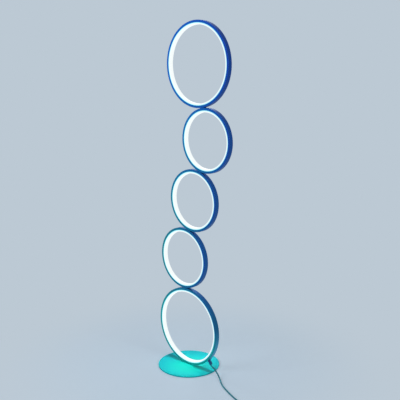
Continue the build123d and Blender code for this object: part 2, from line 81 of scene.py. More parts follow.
# Free stretch of the cord, from the boot's tip to the start of the coil
CORD_ROUTE = (
    (0.10079, 0.0, 0.03113),
    (0.10299, 0.0, 0.02732),
    (0.1108, -0.0002, 0.0242),
    (0.1188, -0.0010, 0.0207),
    (0.1260, -0.0026, 0.0157),
    (0.1338, -0.0040, 0.0108),
    (0.1422, -0.0074, 0.0060),
    (0.1520, -0.0132, 0.0028),
    (0.1630, -0.0218, 0.00225),
    (0.1750, -0.0310, 0.00225),
    (0.1884, -0.0396, 0.00225),
    (0.2036, -0.0472, 0.00225),
    (0.2204, -0.0548, 0.00225),
    (0.2386, -0.0624, 0.00225),
    (0.2574, -0.0696, 0.00225),
    (0.2760, -0.0758, 0.00225),
    (0.2936, -0.0804, 0.00225),
    (0.3104, -0.0842, 0.00275),
    (0.32496, -0.09099, 0.00275),
)
CORD_ORDER = 3
CORD_STEPS_PER_POINT = 6
CORD_BEVEL_STEPS = 4

# Coil of the spare length
COIL_CENTRE = (0.3176, -0.1317)
COIL_HEADING = math.radians(-33.0)
COIL_MIDDLE_DIAMETER = 0.056
COIL_PITCH = 0.0058
COIL_HALF_TURNS = (7, 6)
COIL_HEIGHT = 0.00275
COIL_POINTS_PER_TURN = 16

# Straps that hold the coil
STRAP_ANGLES = (-123.0, -18.0, 132.0)
STRAP_CLEARANCE = 0.0009
STRAP_CORNER = 0.0012
STRAP_TAIL = 0.016
STRAP_RAMP = 0.006
STRAP_STEPS = 160

# Their edge radius as a share of their thickness, and their weave's pitch and darkest tone
STRAP_EDGE = 0.4
WEAVE_PITCH = 0.0011
WEAVE_DARK = 0.7

# Camera, as it stood for the photograph; the picture is square
CAMERA_AZIMUTH = math.radians(45.401)
CAMERA_DISTANCE = 2.15004
CAMERA_HEIGHT = 1.00306
CAMERA_YAW = math.radians(-0.973)
CAMERA_PITCH = math.radians(-11.789)
CAMERA_FOCAL_PIXELS = 698.96
PICTURE_PIXELS = 400
SENSOR_MILLIMETRES = 36.0

# Lamps that throw each hoop's own light inwards, and the collection that they leave out
RING_LAMPS = 12
RING_LAMP_LENGTH = 0.030
RING_LAMP_GAP = 0.002
SPARED_BY_RING_LAMPS = "spared_by_ring_lamps"

# Softboxes: their name among the light strengths, where they stand and their width
SOFTBOXES = (
    ("key", (-0.8, -2.7, 1.5), 1.6),
    ("fill", (2.7, -0.4, 1.4), 1.8),
    ("back", (-1.6, 2.4, 1.6), 1.8),
)
SOFTBOX_TARGET = (0.02, 0.0, 0.5)

# Floor: a wide disc that keeps shadows near the lamp and melts into the background further out
FLOOR_RADIUS = 14.0
FLOOR_SEGMENTS = 96
FLOOR_FADE = (0.2, 0.7)
FLOOR_LIFT = 0.38

# Heights between which the casings' painted light changes: coloured light of the surroundings over the
# whole column and on the left flanges, painted shade with teal bounce into the bottom hoop's colours,
# and painted light that the base throws up near it
COLUMN_FADE = (CAD_BOX[0].z, CAD_BOX[1].z)
LEFT_FADE = (0.45, 0.95)
BOTTOM_FADE = (0.26, 0.17)
BASE_BOUNCE_FADE = (0.17, 0.065)

# How much of the edges' colour shows on the casings: lacquer worn thin, and a painted highlight
WORN_AND_HIGHLIT = 0.15

# Shares of the diffuser's rise between which its glow turns from the flanges' tint to white
GLOW_FADE = (0.05, 0.6)

# Point of the base where the painted pool of the hoops' light is greenest, and the distances over which
# it fades into the plain enamel
GREENEST = (0.015, -0.015, 0.0)
PAINTED_POOL_FADE = (0.015, 0.11)

# Tone of the supply's pin plate, as a share of its housing's
PIN_PLATE_TONE = 0.45

# Noise of the finishes: waves in a metre of the slow drift, and the detail of both noises
DRIFT_SCALE = 24.0
DRIFT_DETAIL = 3.0
GRAIN_DETAIL = 2.0

# Sockets of the Mix node when it mixes colours
MIX_FACTOR, MIX_FIRST, MIX_SECOND, MIX_RESULT = 0, 6, 7, 2


class Grain(NamedTuple):
    """How a finish varies: its tone's drift, grains in a metre, roughness and bump."""

    drift: float
    scale: float
    roughness: float
    spread: float
    bump: float
    depth: float


LACQUER_GRAIN = Grain(drift=0.18, scale=900.0, roughness=0.4, spread=0.1, bump=0.12, depth=0.0002)
OPAL_GRAIN = Grain(drift=0.03, scale=700.0, roughness=0.45, spread=0.08, bump=0.05, depth=0.0002)
ENAMEL_GRAIN = Grain(drift=0.08, scale=1100.0, roughness=0.55, spread=0.12, bump=0.18, depth=0.0003)
PAD_GRAIN = Grain(drift=0.15, scale=2200.0, roughness=0.85, spread=0.1, bump=0.4, depth=0.0003)
JACKET_GRAIN = Grain(drift=0.2, scale=1500.0, roughness=0.5, spread=0.12, bump=0.1, depth=0.0001)
BOOT_GRAIN = Grain(drift=0.15, scale=1800.0, roughness=0.62, spread=0.12, bump=0.15, depth=0.0001)
SUPPLY_GRAIN = Grain(drift=0.1, scale=2600.0, roughness=0.5, spread=0.15, bump=0.35, depth=0.00015)
PIN_PLATE_GRAIN = Grain(drift=0.1, scale=2600.0, roughness=0.4, spread=0.1, bump=0.2, depth=0.0001)
NICKEL_GRAIN = Grain(drift=0.06, scale=1400.0, roughness=0.24, spread=0.12, bump=0.05, depth=0.0001)
STEEL_GRAIN = Grain(drift=0.08, scale=1600.0, roughness=0.32, spread=0.14, bump=0.08, depth=0.0001)
BRASS_GRAIN = Grain(drift=0.1, scale=1600.0, roughness=0.3, spread=0.14, bump=0.08, depth=0.0001)
INSULATION_GRAIN = Grain(drift=0.06, scale=1800.0, roughness=0.5, spread=0.1, bump=0.05, depth=0.0001)
BOARD_GRAIN = Grain(drift=0.1, scale=420.0, roughness=0.5, spread=0.1, bump=0.1, depth=0.0002)


def srgb(red, green, blue):
    """Linear colour of an 8-bit display colour."""
    share = np.array([red, green, blue]) / 255
    linear = np.where(share <= 0.04045, share / 12.92, ((share + 0.055) / 1.055) ** 2.4)
    return tuple(float(value) for value in linear)


def length_property(name, description, default):
    return FloatProperty(
        name=name, description=description, default=default, min=0.0, precision=5, unit="LENGTH"
    )


def colour_property(name, description, display):
    return FloatVectorProperty(
        name=name, description=description, default=srgb(*display), subtype="COLOR", min=0.0, max=1.0
    )


def light_property(name, description, default, unit="NONE"):
    return FloatProperty(
        name=name, description=description, default=default, min=0.0, precision=3, unit=unit
    )


class LampSizes(bpy.types.PropertyGroup):
    """Sizes of the hoops' section, the cord and the straps."""

    wall: length_property("Casing wall", "Thickness of the channel's metal", 0.0012)
    flange: length_property("Flange", "Height of the channel's sides", 0.0074)
    rise: length_property("Diffuser rise", "How far the diffuser stands proud of the flanges", 0.0058)
    leg: length_property("Diffuser leg", "Depth of the leg gripped between the flanges", 0.0024)
    casing_round: length_property("Casing edge", "Radius of the casing's outer edges", 0.0006)
    lip_round: length_property("Casing lip", "Radius of the flanges' ends and inner corners", 0.00025)
    diffuser_round: length_property("Diffuser edge", "Radius of the diffuser's free edges", 0.0012)
    cord: length_property("Cord", "Diameter of the cord", 0.0045)
    strap_width: length_property("Strap width", "Width of a coil strap", 0.008)
    strap: length_property("Strap", "Thickness of a coil strap", 0.0008)


class LampColours(bpy.types.PropertyGroup):
    """Colours of the finishes."""

    # Casing colours are blue lacquer under painted light. High to low is the surroundings' coloured
    # light, deeper blue at the top and tealer low down. The left flanges take painted cyan light and the
    # right ones painted shade. The bottom colours hold painted shade with teal bounce, and the base
    # bounce colours hold painted light from the base.
    wall_high: colour_property("Wall, top", "Outer wall of the top hoop", (18, 70, 160))
    wall_low: colour_property("Wall, low", "Outer walls low on the column", (34, 112, 174))
    wall_bottom: colour_property("Wall, bottom", "Outer wall of the bottom hoop", (29, 108, 152))
    wall_base_bounce: colour_property("Wall, foot", "Outer wall near the base", (74, 176, 210))
    left_high: colour_property("Left flange, top", "Top hoop, at its left", (0, 112, 212))
    left_low: colour_property("Left flange, low", "Low hoops, at their left", (14, 158, 170))
    left_bottom: colour_property("Left flange, bottom", "Bottom hoop, at its left", (14, 188, 188))
    right_high: colour_property("Right flange, top", "Top hoop, at its right", (8, 62, 170))
    right_low: colour_property("Right flange, low", "Low hoops, at their right", (18, 94, 178))
    right_bottom: colour_property("Right flange, bottom", "Bottom hoop, at its right", (15, 97, 151))
    flange_base_bounce: colour_property("Flange, foot", "Flanges near the base", (24, 172, 172))
    # Lacquer worn thin along the casings' edges, and a painted highlight there
    worn_and_highlit: colour_property("Rubbed edge", "Lacquer rubbed thin along the edges", (110, 180, 230))
    opal: colour_property("Opal", "Plastic of the diffusers", (116, 124, 124))
    glow: colour_property("Glow", "Light of the diffusers' crowns", (228, 232, 231))
    # The left glow holds painted cyan light and the right glow painted shade
    glow_left: colour_property("Glow, left", "Light beside the left flanges", (112, 236, 246))
    glow_right: colour_property("Glow, right", "Light beside the right flanges", (120, 212, 232))
    # The near colour is a painted pool of the hoops' light, greener than the far enamel
    base_rim: colour_property("Base, far", "Enamel away from the greenest point", (14, 198, 207))
    base_middle: colour_property("Base, near", "Enamel at the greenest point", (18, 216, 198))
    pad: colour_property("Pad", "Rubber under the base", (52, 56, 60))
    boot: colour_property("Boot", "Rubber of the cord boots", (34, 84, 140))
    cord: colour_property("Cord", "Jacket of the cord", (22, 128, 142))
    strap: colour_property("Strap", "Webbing of the coil straps", (30, 66, 92))
    supply: colour_property("Supply", "Plastic of the power supply", (38, 92, 112))
    nickel: colour_property("Nickel", "Plating of the supply's pins", (205, 208, 210))
    steel: colour_property("Steel", "Screws, nuts and clamp", (188, 192, 196))
    brass: colour_property("Brass", "Nipples between the hoops", (206, 176, 104))
    insulation: colour_property("Insulation", "Leads inside the nipples", (226, 228, 228))
    board: colour_property("Strip board", "Light strips in the channels", (238, 232, 196))
    studio: colour_property("Studio light", "Tint of the softboxes and the sky", (240, 248, 255))
    floor: colour_property("Floor", "Studio floor and background", (188, 201, 212))


class LampLight(bpy.types.PropertyGroup):
    """Strengths of the lamp's own light and of the studio."""

    glow: light_property("Glow", "Strength of the diffusers' glow", 1.09)
    own: light_property("Own light", "Watts of each of the lamps along a hoop", 0.045, "POWER")
    key: light_property("Key", "Watts of the key light", 25.0, "POWER")
    fill: light_property("Fill", "Watts of the fill light", 13.0, "POWER")
    back: light_property("Back", "Watts of the light behind the lamp", 12.0, "POWER")
    sky: light_property("Sky", "Strength of the even light all round", 0.2)


# Shapes


def round_corners(corners, radii):
    """Closed outline with an arc at each corner, and its outward normals.

    The corners run anticlockwise. An arc's centre lies on the corner's bisector, and its points are
    the centre plus the radius along a direction that turns from one side's normal to the next
    side's; at a hollow corner both are taken the other way.
    """
    corners = np.asarray(corners, float)
    radii = np.broadcast_to(np.asarray(radii, float), len(corners))
    ahead = np.roll(corners, -1, axis=0) - corners
    ahead /= np.linalg.norm(ahead, axis=1, keepdims=True)
    leaving = np.stack([ahead[:, 1], -ahead[:, 0]], axis=1)
    arriving = np.roll(leaving, 1, axis=0)
    across = arriving[:, 0] * leaving[:, 1] - arriving[:, 1] * leaving[:, 0]
    along = (arriving * leaving).sum(axis=1)
    turn = np.arctan2(across, along)
    reach = np.sign(turn) * radii
    centres = corners - (reach / (1 + along))[:, None] * (arriving + leaving)
    start = np.arctan2(arriving[:, 1], arriving[:, 0])
    angle = start[:, None] + turn[:, None] * np.linspace(0, 1, ARC_STEPS)
    normals = np.stack([np.cos(angle), np.sin(angle)], axis=-1)
    points = centres[:, None] + reach[:, None, None] * normals
    return points.reshape(-1, 2), normals.reshape(-1, 2)


def grid_faces(rows, columns, closed_rows):
    """Quads of a grid of points whose columns close on themselves, and whose rows do where asked."""
    row = np.arange(rows if closed_rows else rows - 1)[:, None]
    column = np.arange(columns)[None, :]
    next_row = (row + 1) % rows
    next_column = (column + 1) % columns
    corners = (
        row * columns + column,
        row * columns + next_column,
        next_row * columns + next_column,
        next_row * columns + column,
    )
    return np.stack(corners, axis=-1).reshape(-1, 4)


def build_mesh(name, points, faces, normals, attributes):
    """Mesh from arrays, shaded by the shape's own normals, with a value at each point per attribute."""
    mesh = bpy.data.meshes.new(name)
    mesh.from_pydata(points.reshape(-1, 3).tolist(), [], faces)
    mesh.polygons.foreach_set("use_smooth", np.ones(len(mesh.polygons), bool))
    mesh.normals_split_custom_set_from_vertices(normals.reshape(-1, 3).tolist())
    for key, values in attributes.items():
        layer = mesh.attributes.new(key, "FLOAT", "POINT")
        layer.data.foreach_set("value", np.ascontiguousarray(values, np.float32).ravel())
    mesh.update()
    return mesh


def place(name, data, slot, material, *nodes):
    """Object at the origin that rides on the lamp, takes a finish and stands for CAD nodes; its slot is
    not used.
    """
    piece = bpy.data.objects.new(name, data)
    bpy.context.scene.collection.objects.link(piece)
    data.materials.append(material)
    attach(piece, BODY)
    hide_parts(*nodes)
    return piece


def spare(piece):
    """Leave an object out of the light that the hoops' own lamps throw."""
    if SPARED_BY_RING_LAMPS not in bpy.data.collections:
        bpy.data.collections.new(SPARED_BY_RING_LAMPS)
    spared = bpy.data.collections[SPARED_BY_RING_LAMPS]
    spared.objects.link(piece)
    spared.collection_objects[-1].light_linking.link_state = "EXCLUDE"


def hoop_of(name):
    """Outer radius, width across the channel, and centre of a hoop, read from its imported casing."""
    low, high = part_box(f"{name}_hoop_casing")
    return (high.x - low.x) / 2, high.y - low.y, (low + high) / 2


def turn_hoop(outline, normals, centre):
    """An outline of (radius, across) points carried round a hoop's axis.

    A point at angle a is the centre plus (radius cos a, across, radius sin a). The left share is
    (1 - cos a) / 2: none at the hoop's +X end and whole at its -X end.
    """
    angle = np.linspace(0, 2 * np.pi, HOOP_SEGMENTS, endpoint=False)[:, None]
    cosine, sine = np.cos(angle), np.sin(angle)
    grid = (HOOP_SEGMENTS, len(outline))

    def carry(profile):
        radius, across = profile.T
        return np.stack([radius * cosine, np.broadcast_to(across, grid), radius * sine], axis=-1)

    left = np.broadcast_to((1 - cosine) / 2, grid)
    faces = grid_faces(*grid, closed_rows=True)
    return carry(outline) + np.array(centre), faces.tolist(), carry(normals), left


def make_casing(name, sizes, material):
    """U channel round a hoop: wall outside, a flange on each side, open towards the centre.

    Its outline is eight corners in (radius, across), each rounded: large outside, small elsewhere.
    The wall share is 1 where the outline faces outwards, and the edge share 1 in mid-corner.
    """
    radius, width, centre = hoop_of(name)
    half, tip, floor = width / 2, radius - sizes.flange, radius - sizes.wall
    inside = half - sizes.wall
    corners = [
        (radius, -half),
        (radius, half),
        (tip, half),
        (tip, inside),
        (floor, inside),
        (floor, -inside),
        (tip, -inside),
        (tip, -half),
    ]
    radii = [sizes.casing_round] * 2 + [sizes.lip_round] * 6
    outline, normals = round_corners(corners, radii)
    points, faces, directions, left = turn_hoop(outline, normals, centre)
    wall = np.broadcast_to(np.clip(normals[:, 0], 0, 1), left.shape)
    bend = 1 - np.abs(normals).max(axis=1)
    edge = np.broadcast_to(bend / bend.max(), left.shape)
    attributes = {"left": left, "wall": wall, "edge": edge}
    mesh = build_mesh(f"{name}_casing", points, faces, directions, attributes)
    place(f"{name}_casing", mesh, "casing_blue", material, f"{name}_hoop_casing")


def make_diffuser(name, sizes, material):
    """Opal T-bar round a hoop: a head as wide as the channel, proud of it, and a leg inside it.

    Its outline is eight rounded corners in (radius, across). The crown share is how far a point
    stands proud of the flanges, over the rise: 0 beside them and 1 on the face towards the centre.
    """
    radius, width, centre = hoop_of(name)
    half, shoulder = width / 2, radius - sizes.flange
    inside, inner, root = half - sizes.wall, shoulder - sizes.rise, shoulder + sizes.leg
    corners = [
        (root, -inside),
        (root, inside),
        (shoulder, inside),
        (shoulder, half),
        (inner, half),
        (inner, -half),
        (shoulder, -half),
        (shoulder, -inside),
    ]
    radii = [sizes.lip_round] * 4 + [sizes.diffuser_round] * 2 + [sizes.lip_round] * 2
    outline, normals = round_corners(corners, radii)
    points, faces, directions, left = turn_hoop(outline, normals, centre)
    crown = np.broadcast_to(np.clip((shoulder - outline[:, 0]) / sizes.rise, 0, 1), left.shape)
    mesh = build_mesh(f"{name}_diffuser", points, faces, directions, {"crown": crown, "left": left})
    diffuser = place(f"{name}_diffuser", mesh, "opal_diffuser", material, f"{name}_hoop_diffuser")
    spare(diffuser)


def coil_radii():
    """Radius and layer at each half turn: in and out by turns, climbing where the spiral reverses."""
    step = COIL_PITCH / 2
    radius = COIL_MIDDLE_DIAMETER / 2 + COIL_HALF_TURNS[0] * step / 2
    stations = [(radius, 0)]
    for layer, half_turns in enumerate(COIL_HALF_TURNS):
        if layer > 0:
            stations.append((radius, layer))
        way = -1 if layer % 2 == 0 else 1
        for _ in range(half_turns):
            radius += way * step
            stations.append((radius, layer))
    return stations


def coil_points():
    """Control points of the clockwise coil, and where it ends, its heading and its height there.

    A half turn is half a circle from one station to the next on the other side. A spline of order 3
    runs inside its points by the cosine of half their spacing, so they stand out by its inverse.
    """
    heading = np.array([math.cos(COIL_HEADING), math.sin(COIL_HEADING)])
    across = np.array([-heading[1], heading[0]])
    per_half = COIL_POINTS_PER_TURN // 2
    stand_out = 1 / math.cos(math.pi / COIL_POINTS_PER_TURN)
    share = (np.arange(per_half) + 0.5) / per_half
    stations = coil_radii()
    points = []
    for turn, ((radius, layer), (next_radius, next_layer)) in enumerate(zip(stations, stations[1:])):
        side = 1 if turn % 2 == 0 else -1
        arc = stand_out * (radius + next_radius) / 2
        middle = np.array(COIL_CENTRE) + side * across * (radius - next_radius) / 2
        flat = (
            middle
            + side * arc * np.cos(math.pi * share)[:, None] * across
            + side * arc * np.sin(math.pi * share)[:, None] * heading
        )
        height = COIL_HEIGHT + COIL_PITCH * (layer + (next_layer - layer) * share)
        points.append(np.column_stack([flat, height]))
    side = 1 if len(stations) % 2 == 1 else -1
    radius, layer = stations[-1]
    end = np.array(COIL_CENTRE) + side * across * radius
    return np.concatenate(points), end, side * heading, COIL_HEIGHT + COIL_PITCH * layer


def make_cord(sizes, material):
    """The whole cord as one spline: the free route, the coil, and the stub into the supply's boot."""
    turns, end, heading, height = coil_points()
    tail = [(*end, height), (*(end + heading * sizes.cord), height)]
    route = np.concatenate([np.array(CORD_ROUTE), turns, np.array(tail)])
    curve = bpy.data.curves.new("power_lead", "CURVE")
    curve.dimensions = "3D"
    curve.bevel_depth = sizes.cord / 2
    curve.bevel_resolution = CORD_BEVEL_STEPS
    curve.use_fill_caps = True
    spline = curve.splines.new("NURBS")
    spline.points.add(len(route) - 1)
    spline.points.foreach_set("co", np.column_stack([route, np.ones(len(route))]).ravel())
    spline.order_u = CORD_ORDER
    spline.use_endpoint_u = True
    spline.resolution_u = CORD_STEPS_PER_POINT
    return place("power_lead", curve, "cord_jacket", material, "power_cord", "cord_coil")


def strap_path(sizes):
    """Path of a strap in (radius, height) about the coil, its outward directions, and the length so far.

    A rounded rectangle round the bundle of turns, from the middle of its top, gone round once and a
    tail further; the tail stands off by the strap's thickness, with an eased ramp.
    """
    radii = [radius for radius, _ in coil_radii()]
    inner = min(radii) - sizes.cord / 2 - STRAP_CLEARANCE
    outer = max(radii) + sizes.cord / 2 + STRAP_CLEARANCE
    low = sizes.strap
    high = low + (len(COIL_HALF_TURNS) - 1) * COIL_PITCH + sizes.cord
    corners = [(inner, high), (inner, low), (outer, low), (outer, high)]
    loop, normals = round_corners(corners, STRAP_CORNER)
    start = [((inner + outer) / 2, high)]
    upwards = [(0.0, 1.0)]
    loop = np.concatenate([start, loop, start])
    normals = np.concatenate([upwards, normals, upwards])
    lengths = np.concatenate([[0], np.cumsum(np.linalg.norm(np.diff(loop, axis=0), axis=1))])
    once = lengths[-1]
    along = np.linspace(0, once + STRAP_TAIL, STRAP_STEPS)
    path = np.stack([np.interp(along % once, lengths, values) for values in loop.T], axis=1)
    out = np.stack([np.interp(along % once, lengths, values) for values in normals.T], axis=1)
    out /= np.linalg.norm(out, axis=1, keepdims=True)
    ramp = np.clip((along - once + STRAP_RAMP) / STRAP_RAMP, 0, 1)
    lift = sizes.strap * ramp**2 * (3 - 2 * ramp)
    return path + out * lift[:, None], out, along


def make_straps(sizes, material):
    """Flat straps round the coil, each with its end laid over its start.

    A strap is a thin rounded rectangle carried along its path: a point is the path's, plus the
    section's thickness along the outward direction and its width along the sideways one.
    """
    path, out, along = strap_path(sizes)
    half, thick = sizes.strap_width / 2, sizes.strap
    corners = [(0, half), (0, -half), (thick, -half), (thick, half)]
    section, section_normals = round_corners(corners, thick * STRAP_EDGE)
    ring = np.arange(len(section))
    sides = grid_faces(STRAP_STEPS, len(section), closed_rows=False)
    last = (STRAP_STEPS - 1) * len(section)
    up = np.array([0.0, 0.0, 1.0])
    centre = np.array([*COIL_CENTRE, 0.0])
    points, normals, faces = [], [], []
    for index, angle in enumerate(np.radians(STRAP_ANGLES)):
        radial = np.array([math.cos(angle), math.sin(angle), 0.0])
        sideways = np.array([-math.sin(angle), math.cos(angle), 0.0])
        direction = (out[:, :1] * radial + out[:, 1:] * up)[:, None]
        spine = (centre + path[:, :1] * radial + path[:, 1:] * up)[:, None]
        points.append(spine + section[:, :1] * direction + section[:, 1:] * sideways)
        normals.append(section_normals[:, :1] * direction + section_normals[:, 1:] * sideways)
        first = index * STRAP_STEPS * len(section)
        faces += (first + sides).tolist()
        faces.append((first + ring[::-1]).tolist())
        faces.append((first + last + ring).tolist())
    attributes = {
        "along": np.tile(np.repeat(along, len(section)), len(STRAP_ANGLES)),
        "across": np.tile(section[:, 1], STRAP_STEPS * len(STRAP_ANGLES)),
    }
    mesh = build_mesh("coil_straps", np.concatenate(points), faces, np.concatenate(normals), attributes)
    return place("coil_straps", mesh, "tie_strap", material, "coil_ties")


# Finishes


def add_node(tree, kind, sockets=None, **settings):
    """Node with its settings; a socket's value is a plain value or another node's output."""
    node = tree.nodes.new(kind)
    for key, value in settings.items():
        setattr(node, key, value)
    for key, value in (sockets or {}).items():
        if isinstance(value, bpy.types.NodeSocket):
            tree.links.new(value, node.inputs[key])
        else:
            node.inputs[key].default_value = value
    return node


def opaque(colour):
    return (*colour, 1.0)


def darker(colour, tone):
    return tuple(value * tone for value in colour)


def mix_colours(tree, factor, first, second):
    """Colour between two others; a node's output or a plain colour each."""
    sockets = {MIX_FACTOR: factor, MIX_FIRST: first, MIX_SECOND: second}
    return add_node(tree, "ShaderNodeMix", sockets, data_type="RGBA").outputs[MIX_RESULT]


def calculate(tree, operation, *values):
    return add_node(tree, "ShaderNodeMath", dict(enumerate(values)), operation=operation).outputs[0]


def ease_between(tree, value, low, high):
    """0 at low and before it, 1 at high and past it, eased between."""
    sockets = {"Value": value, "From Min": low, "From Max": high}
    node = add_node(tree, "ShaderNodeMapRange", sockets, interpolation_type="SMOOTHSTEP")
    return node.outputs["Result"]


def attribute(tree, name):
    return add_node(tree, "ShaderNodeAttribute", attribute_name=name).outputs["Fac"]


def place_on_object(tree):
    return add_node(tree, "ShaderNodeTexCoord").outputs["Object"]


def height_on_object(tree):
    return add_node(tree, "ShaderNodeSeparateXYZ", {0: place_on_object(tree)}).outputs["Z"]


def new_group(name, inputs, outputs):
    """Empty shader group with its named sockets, and its two end nodes."""
    tree = bpy.data.node_groups.new(name, "ShaderNodeTree")
    for label, kind in inputs.items():
        tree.interface.new_socket(label, in_out="INPUT", socket_type=kind)
    for label, kind in outputs.items():
        tree.interface.new_socket(label, in_out="OUTPUT", socket_type=kind)
    return tree, tree.nodes.new("NodeGroupInput").outputs, tree.nodes.new("NodeGroupOutput").inputs


def use_group(tree, group, sockets):
    return add_node(tree, "ShaderNodeGroup", sockets, node_tree=group).outputs


def height_fade_group():
    """Colour that goes from a low one to a high one between two heights on the object."""
    name = "height_fade"
    if name in bpy.data.node_groups:
        return bpy.data.node_groups[name]
    colour, value = "NodeSocketColor", "NodeSocketFloat"
    inputs = {"Low Colour": colour, "High Colour": colour, "Low Height": value, "High Height": value}
    tree, given, result = new_group(name, inputs, {"Colour": colour})
    sockets = {
        "Value": height_on_object(tree),
        "From Min": given["Low Height"],
        "From Max": given["High Height"],
    }
    share = add_node(tree, "ShaderNodeMapRange", sockets).outputs["Result"]
    tree.links.new(mix_colours(tree, share, given["Low Colour"], given["High Colour"]), result["Colour"])
    return tree


def fine_grain_group():
    """Fine grain on a finish: a slow drift of tone, a spread of roughness, and a height to bump by."""
    name = "fine_grain"
    if name in bpy.data.node_groups:
        return bpy.data.node_groups[name]
    colour, value = "NodeSocketColor", "NodeSocketFloat"
    inputs = {"Colour": colour, "Drift": value, "Scale": value, "Roughness": value, "Spread": value}
    outputs = {"Colour": colour, "Roughness": value, "Height": value}
    tree, given, result = new_group(name, inputs, outputs)

    def noise(scale, detail):
        sockets = {"Vector": place_on_object(tree), "Scale": scale, "Detail": detail}
        return add_node(tree, "ShaderNodeTexNoise", sockets).outputs[0]

    def spread_about(centre, amount, wave):
        return calculate(tree, "MULTIPLY_ADD", calculate(tree, "SUBTRACT", wave, 0.5), amount, centre)

    grain = noise(given["Scale"], GRAIN_DETAIL)
    tone = spread_about(1.0, given["Drift"], noise(DRIFT_SCALE, DRIFT_DETAIL))
    sockets = {0: given["Colour"], "Scale": tone}
    toned = add_node(tree, "ShaderNodeVectorMath", sockets, operation="SCALE").outputs[0]
    tree.links.new(toned, result["Colour"])
    tree.links.new(spread_about(given["Roughness"], given["Spread"], grain), result["Roughness"])
    tree.links.new(grain, result["Height"])
    return tree


def new_material(name, constants):
    """Material with one Principled shader, and the shader's constant sockets set on it."""
    material = bpy.data.materials.new(name)
    material.use_nodes = True
    tree = material.node_tree
    tree.nodes.clear()
    shader = add_node(tree, "ShaderNodeBsdfPrincipled", constants)
    add_node(tree, "ShaderNodeOutputMaterial", {"Surface": shader.outputs[0]})
    return material, tree, shader.inputs


def bump_by(tree, shader, height, strength, depth):
    """Bump a shader's surface by a height."""
    sockets = {"Strength": strength, "Distance": depth, "Height": height}
    tree.links.new(add_node(tree, "ShaderNodeBump", sockets).outputs[0], shader["Normal"])


def apply_grain(tree, shader, colour, grain):
    """Feed a colour through the grain group into a shader, and bump its surface by the grain."""
    sockets = {
        "Colour": colour,
        "Drift": grain.drift,
        "Scale": grain.scale,
        "Roughness": grain.roughness,
        "Spread": grain.spread,
    }
    varied = use_group(tree, fine_grain_group(), sockets)
    tree.links.new(varied["Colour"], shader["Base Color"])
    tree.links.new(varied["Roughness"], shader["Roughness"])
    bump_by(tree, shader, varied["Height"], grain.bump, grain.depth)


def casing_paint(colours):
    """Blue lacquer on metal, brighter on the flanges, under painted light: the surroundings' colour,
    deeper at the top and tealer towards the base, cyan on the left flanges and shade on the right, shade
    with teal bounce on the bottom hoop, and the base's light thrown up near it.
    """
    constants = {"Metallic": 0.65, "Specular IOR Level": 0.25}
    material, tree, shader = new_material("casing_lacquer", constants)
    height = height_on_object(tree)
    bottom_hoop = ease_between(tree, height, *BOTTOM_FADE)
    base_bounce = ease_between(tree, height, *BASE_BOUNCE_FADE)

    def fade(low, high, bottom, heights):
        sockets = {
            "Low Colour": opaque(low),
            "High Colour": opaque(high),
            "Low Height": heights[0],
            "High Height": heights[1],
        }
        column = use_group(tree, height_fade_group(), sockets)["Colour"]
        return mix_colours(tree, bottom_hoop, column, opaque(bottom))

    # Painted light: the surroundings' colour by height, cyan on the left flanges, shade on the right
    # ones, and painted shade with teal bounce on the bottom hoop
    left = fade(colours.left_low, colours.left_high, colours.left_bottom, LEFT_FADE)
    right = fade(colours.right_low, colours.right_high, colours.right_bottom, COLUMN_FADE)
    wall = fade(colours.wall_low, colours.wall_high, colours.wall_bottom, COLUMN_FADE)
    flange = mix_colours(tree, attribute(tree, "left"), right, left)
    # Painted light that the base throws up onto the casings near it
    flange = mix_colours(tree, base_bounce, flange, opaque(colours.flange_base_bounce))
    wall = mix_colours(tree, base_bounce, wall, opaque(colours.wall_base_bounce))
    paint = mix_colours(tree, attribute(tree, "wall"), flange, wall)
    # Lacquer worn thin, and a painted highlight, along the edges
    worn_and_highlit = calculate(tree, "MULTIPLY", attribute(tree, "edge"), WORN_AND_HIGHLIT)
    paint = mix_colours(tree, worn_and_highlit, paint, opaque(colours.worn_and_highlit))
    apply_grain(tree, shader, paint, LACQUER_GRAIN)
    return material


def opal_glow(colours, strength):
    """Opal plastic lit from behind: nearly white on its crown, bluer beside the lacquered flanges, with
    painted cyan light on the left and painted shade on the right.
    """
    constants = {"Emission Strength": strength, "Specular IOR Level": 0.4}
    material, tree, shader = new_material("opal_glow", constants)
    left, right = opaque(colours.glow_left), opaque(colours.glow_right)
    # Painted cyan light on the left side, painted shade on the right
    side = mix_colours(tree, attribute(tree, "left"), right, left)
    crown = ease_between(tree, attribute(tree, "crown"), *GLOW_FADE)
    tree.links.new(mix_colours(tree, crown, side, opaque(colours.glow)), shader["Emission Color"])
    apply_grain(tree, shader, opaque(colours.opal), OPAL_GRAIN)
    return material


def base_enamel(colours):
    """Turquoise powder coat with a fine orange-peel skin, under a painted pool of the hoops' light
    that makes it greener around one point of the plate.
    """
    material, tree, shader = new_material("base_powder_coat", {"Specular IOR Level": 0.08})
    sockets = {0: place_on_object(tree), 1: GREENEST}
    reach = add_node(tree, "ShaderNodeVectorMath", sockets, operation="DISTANCE").outputs["Value"]
    # Painted pool of the hoops' light: greener near that point
    rim = ease_between(tree, reach, *PAINTED_POOL_FADE)
    enamel_and_pool = mix_colours(tree, rim, opaque(colours.base_middle), opaque(colours.base_rim))
    apply_grain(tree, shader, enamel_and_pool, ENAMEL_GRAIN)
    return material


def plain_finish(name, colour, grain, metallic=0.0):
    """One-colour finish with its grain, for rubber, plastic, metal and insulation."""
    material, tree, shader = new_material(name, {"Metallic": metallic})
    apply_grain(tree, shader, opaque(colour), grain)
    return material


